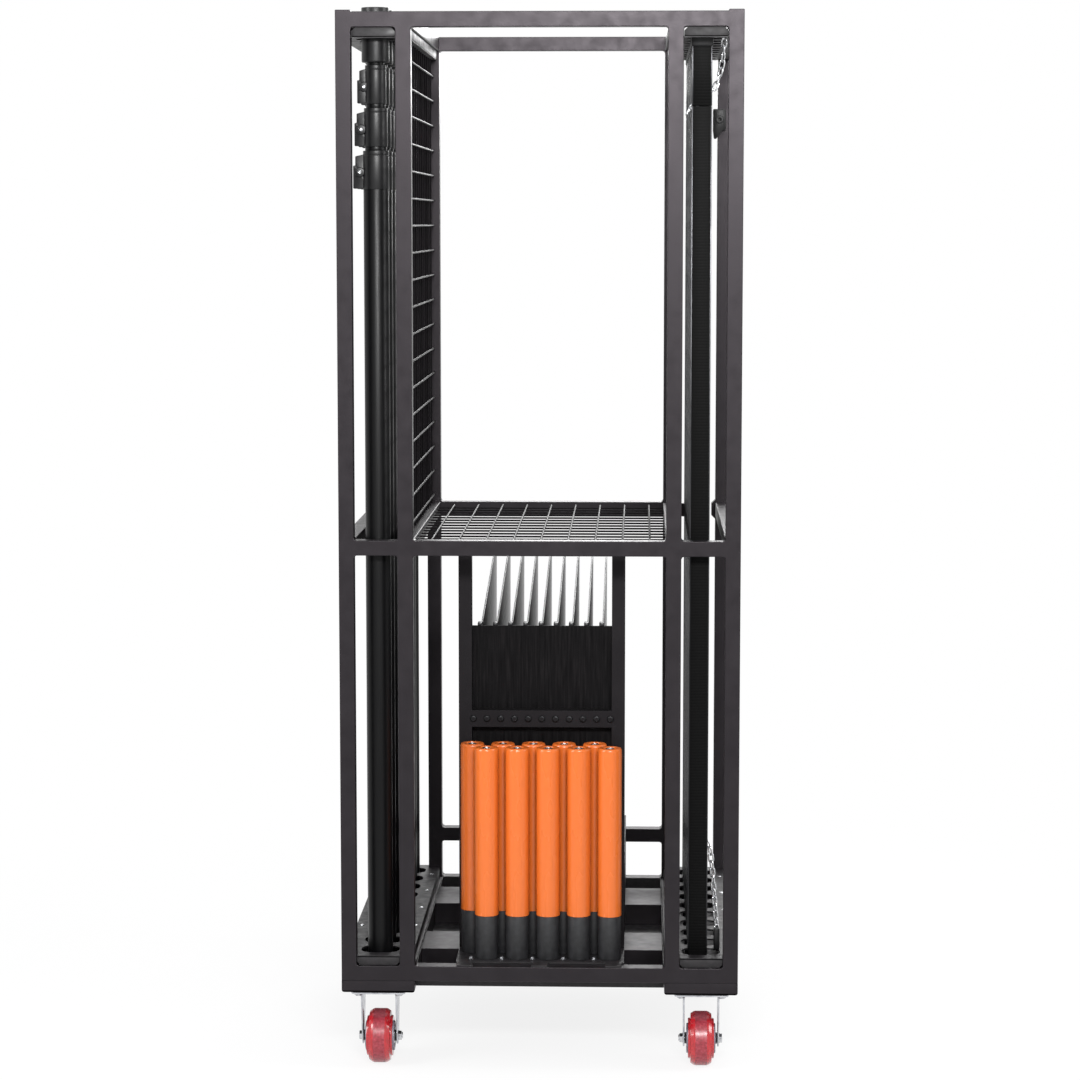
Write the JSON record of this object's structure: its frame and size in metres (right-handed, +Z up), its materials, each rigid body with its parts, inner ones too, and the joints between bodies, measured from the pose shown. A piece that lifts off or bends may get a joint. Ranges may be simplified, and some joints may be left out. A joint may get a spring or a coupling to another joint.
{
  "type": "pipe and drape cart",
  "caption": "Upright square-tube cart on casters that stores telescoping uprights, ribbed crossbars, base plates and base pins under a wire shelf with wire side walls.",
  "frame": {"origin": "on the floor under the middle of the cart", "axes": "+Z up, -Y the front with the base pins, +X to the right as seen from the front"},
  "size_m": [0.74, 0.8, 1.972],
  "materials": {
    "front_frame": "satin black powder coat",
    "rear_frame": "satin black powder coat",
    "left_inner_bottom_rail": "satin black powder coat",
    "left_inner_mid_rail": "satin black powder coat",
    "left_inner_top_rail": "satin black powder coat",
    "left_outer_bottom_rail": "satin black powder coat",
    "left_outer_mid_rail": "satin black powder coat",
    "left_outer_top_rail": "satin black powder coat",
    "right_inner_bottom_rail": "satin black powder coat",
    "right_inner_mid_rail": "satin black powder coat",
    "right_inner_top_rail": "satin black powder coat",
    "right_outer_bottom_rail": "satin black powder coat",
    "right_outer_mid_rail": "satin black powder coat",
    "right_outer_top_rail": "satin black powder coat",
    "left_lower_slot_plate": "satin black powder coat",
    "left_upper_slot_plate": "satin black powder coat",
    "right_lower_slot_plate": "satin black powder coat",
    "right_upper_slot_plate": "satin black powder coat",
    "left_wire_wall": "black coated wire",
    "right_wire_wall": "black coated wire",
    "wire_shelf": "black coated wire",
    "well_tray": "satin black powder coat",
    "front_cross_channel": "satin black powder coat",
    "rear_cross_channel": "satin black powder coat",
    "rack_goalpost": "satin black powder coat",
    "rack_tray_with_base_plates": "satin black powder coat",
    "rack_panel": "vertically brushed dark panel",
    "left_sill_with_uprights": "black tube and coated sheet",
    "front_upright": "black tube and coated sheet",
    "right_sill_with_crossbars": "black ribbed bar and coated sheet",
    "front_crossbar": "black ribbed bar and coated sheet",
    "rear_right_latch_block": "moulded black",
    "base_pin_01": "orange sleeve over a black foot",
    "base_pin_02": "orange sleeve over a black foot",
    "base_pin_03": "orange sleeve over a black foot",
    "base_pin_04": "orange sleeve over a black foot",
    "base_pin_05": "orange sleeve over a black foot",
    "base_pin_06": "orange sleeve over a black foot",
    "base_pin_07": "orange sleeve over a black foot",
    "base_pin_08": "orange sleeve over a black foot",
    "base_pin_09": "orange sleeve over a black foot",
    "base_pin_10": "orange sleeve over a black foot",
    "front_left_caster_bracket": "bright zinc",
    "rear_left_caster_plate": "bright zinc",
    "rear_left_fork": "bright zinc",
    "front_left_axle": "bright zinc",
    "rear_left_axle": "bright zinc",
    "front_left_wheel": "dark red polyurethane",
    "rear_left_wheel": "dark red polyurethane",
    "front_right_caster_bracket": "bright zinc",
    "rear_right_caster_plate": "bright zinc",
    "rear_right_fork": "bright zinc",
    "front_right_axle": "bright zinc",
    "rear_right_axle": "bright zinc",
    "front_right_wheel": "dark red polyurethane",
    "rear_right_wheel": "dark red polyurethane"
  },
  "bodies": {
    "cart": {"front_frame": "front_frame", "rear_frame": "rear_frame", "left_inner_bottom_rail": "left_inner_bottom_rail", "left_inner_mid_rail": "left_inner_mid_rail", "left_inner_top_rail": "left_inner_top_rail", "left_outer_bottom_rail": "left_outer_bottom_rail", "left_outer_mid_rail": "left_outer_mid_rail", "left_outer_top_rail": "left_outer_top_rail", "right_inner_bottom_rail": "right_inner_bottom_rail", "right_inner_mid_rail": "right_inner_mid_rail", "right_inner_top_rail": "right_inner_top_rail", "right_outer_bottom_rail": "right_outer_bottom_rail", "right_outer_mid_rail": "right_outer_mid_rail", "right_outer_top_rail": "right_outer_top_rail", "left_lower_slot_plate": "left_lower_slot_plate", "left_upper_slot_plate": "left_upper_slot_plate", "right_lower_slot_plate": "right_lower_slot_plate", "right_upper_slot_plate": "right_upper_slot_plate", "left_wire_wall": "left_wire_wall", "right_wire_wall": "right_wire_wall", "wire_shelf": "wire_shelf", "well_tray": "well_tray", "front_cross_channel": "front_cross_channel", "rear_cross_channel": "rear_cross_channel", "rack_goalpost": "rack_goalpost", "rack_tray_with_base_plates": "rack_tray_with_base_plates", "rack_panel": "rack_panel", "left_sill_with_uprights": "left_sill_with_uprights", "front_upright": "front_upright", "right_sill_with_crossbars": "right_sill_with_crossbars", "rear_right_latch_block": "rear_right_latch_block", "front_left_caster_bracket": "front_left_caster_bracket", "rear_left_caster_plate": "rear_left_caster_plate", "front_left_axle": "front_left_axle", "front_right_caster_bracket": "front_right_caster_bracket", "rear_right_caster_plate": "rear_right_caster_plate", "front_right_axle": "front_right_axle"},
    "front_left_wheel_body": {"front_left_wheel": "front_left_wheel"},
    "rear_left_swivel_body": {"rear_left_fork": "rear_left_fork", "rear_left_axle": "rear_left_axle"},
    "rear_left_wheel_body": {"rear_left_wheel": "rear_left_wheel"},
    "front_right_wheel_body": {"front_right_wheel": "front_right_wheel"},
    "rear_right_swivel_body": {"rear_right_fork": "rear_right_fork", "rear_right_axle": "rear_right_axle"},
    "rear_right_wheel_body": {"rear_right_wheel": "rear_right_wheel"},
    "base_pin_01_body": {"base_pin_01": "base_pin_01"},
    "base_pin_02_body": {"base_pin_02": "base_pin_02"},
    "base_pin_03_body": {"base_pin_03": "base_pin_03"},
    "base_pin_04_body": {"base_pin_04": "base_pin_04"},
    "base_pin_05_body": {"base_pin_05": "base_pin_05"},
    "base_pin_06_body": {"base_pin_06": "base_pin_06"},
    "base_pin_07_body": {"base_pin_07": "base_pin_07"},
    "base_pin_08_body": {"base_pin_08": "base_pin_08"},
    "base_pin_09_body": {"base_pin_09": "base_pin_09"},
    "base_pin_10_body": {"base_pin_10": "base_pin_10"},
    "front_crossbar_body": {"front_crossbar": "front_crossbar"}
  },
  "joints": [
    {"name": "front_left_wheel_spin", "type": "hinge", "parent": "cart", "child": "front_left_wheel_body", "pos_m": [-0.303, -0.337, 0.0508], "axis": [1, 0, 0], "continuous": true},
    {"name": "rear_left_swivel", "type": "hinge", "parent": "cart", "child": "rear_left_swivel_body", "pos_m": [-0.303, 0.337, 0.13], "axis": [0, 0, 1], "continuous": true},
    {"name": "rear_left_wheel_spin", "type": "hinge", "parent": "rear_left_swivel_body", "child": "rear_left_wheel_body", "pos_m": [-0.303, 0.303, 0.0508], "axis": [1, 0, 0], "continuous": true},
    {"name": "front_right_wheel_spin", "type": "hinge", "parent": "cart", "child": "front_right_wheel_body", "pos_m": [0.303, -0.337, 0.0508], "axis": [1, 0, 0], "continuous": true},
    {"name": "rear_right_swivel", "type": "hinge", "parent": "cart", "child": "rear_right_swivel_body", "pos_m": [0.303, 0.337, 0.13], "axis": [0, 0, 1], "continuous": true},
    {"name": "rear_right_wheel_spin", "type": "hinge", "parent": "rear_right_swivel_body", "child": "rear_right_wheel_body", "pos_m": [0.303, 0.303, 0.0508], "axis": [1, 0, 0], "continuous": true},
    {"name": "base_pin_01_lift", "type": "slide", "parent": "cart", "child": "base_pin_01_body", "axis": [0, 0, 1], "range_m": [0, 0.3]},
    {"name": "base_pin_02_lift", "type": "slide", "parent": "cart", "child": "base_pin_02_body", "axis": [0, 0, 1], "range_m": [0, 0.3]},
    {"name": "base_pin_03_lift", "type": "slide", "parent": "cart", "child": "base_pin_03_body", "axis": [0, 0, 1], "range_m": [0, 0.3]},
    {"name": "base_pin_04_lift", "type": "slide", "parent": "cart", "child": "base_pin_04_body", "axis": [0, 0, 1], "range_m": [0, 0.3]},
    {"name": "base_pin_05_lift", "type": "slide", "parent": "cart", "child": "base_pin_05_body", "axis": [0, 0, 1], "range_m": [0, 0.3]},
    {"name": "base_pin_06_lift", "type": "slide", "parent": "cart", "child": "base_pin_06_body", "axis": [0, 0, 1], "range_m": [0, 0.3]},
    {"name": "base_pin_07_lift", "type": "slide", "parent": "cart", "child": "base_pin_07_body", "axis": [0, 0, 1], "range_m": [0, 0.3]},
    {"name": "base_pin_08_lift", "type": "slide", "parent": "cart", "child": "base_pin_08_body", "axis": [0, 0, 1], "range_m": [0, 0.3]},
    {"name": "base_pin_09_lift", "type": "slide", "parent": "cart", "child": "base_pin_09_body", "axis": [0, 0, 1], "range_m": [0, 0.3]},
    {"name": "base_pin_10_lift", "type": "slide", "parent": "cart", "child": "base_pin_10_body", "axis": [0, 0, 1], "range_m": [0, 0.3]},
    {"name": "front_crossbar_lift", "type": "slide", "parent": "cart", "child": "front_crossbar_body", "axis": [0, 0, 1], "range_m": [0, 1.8]}
  ]
}
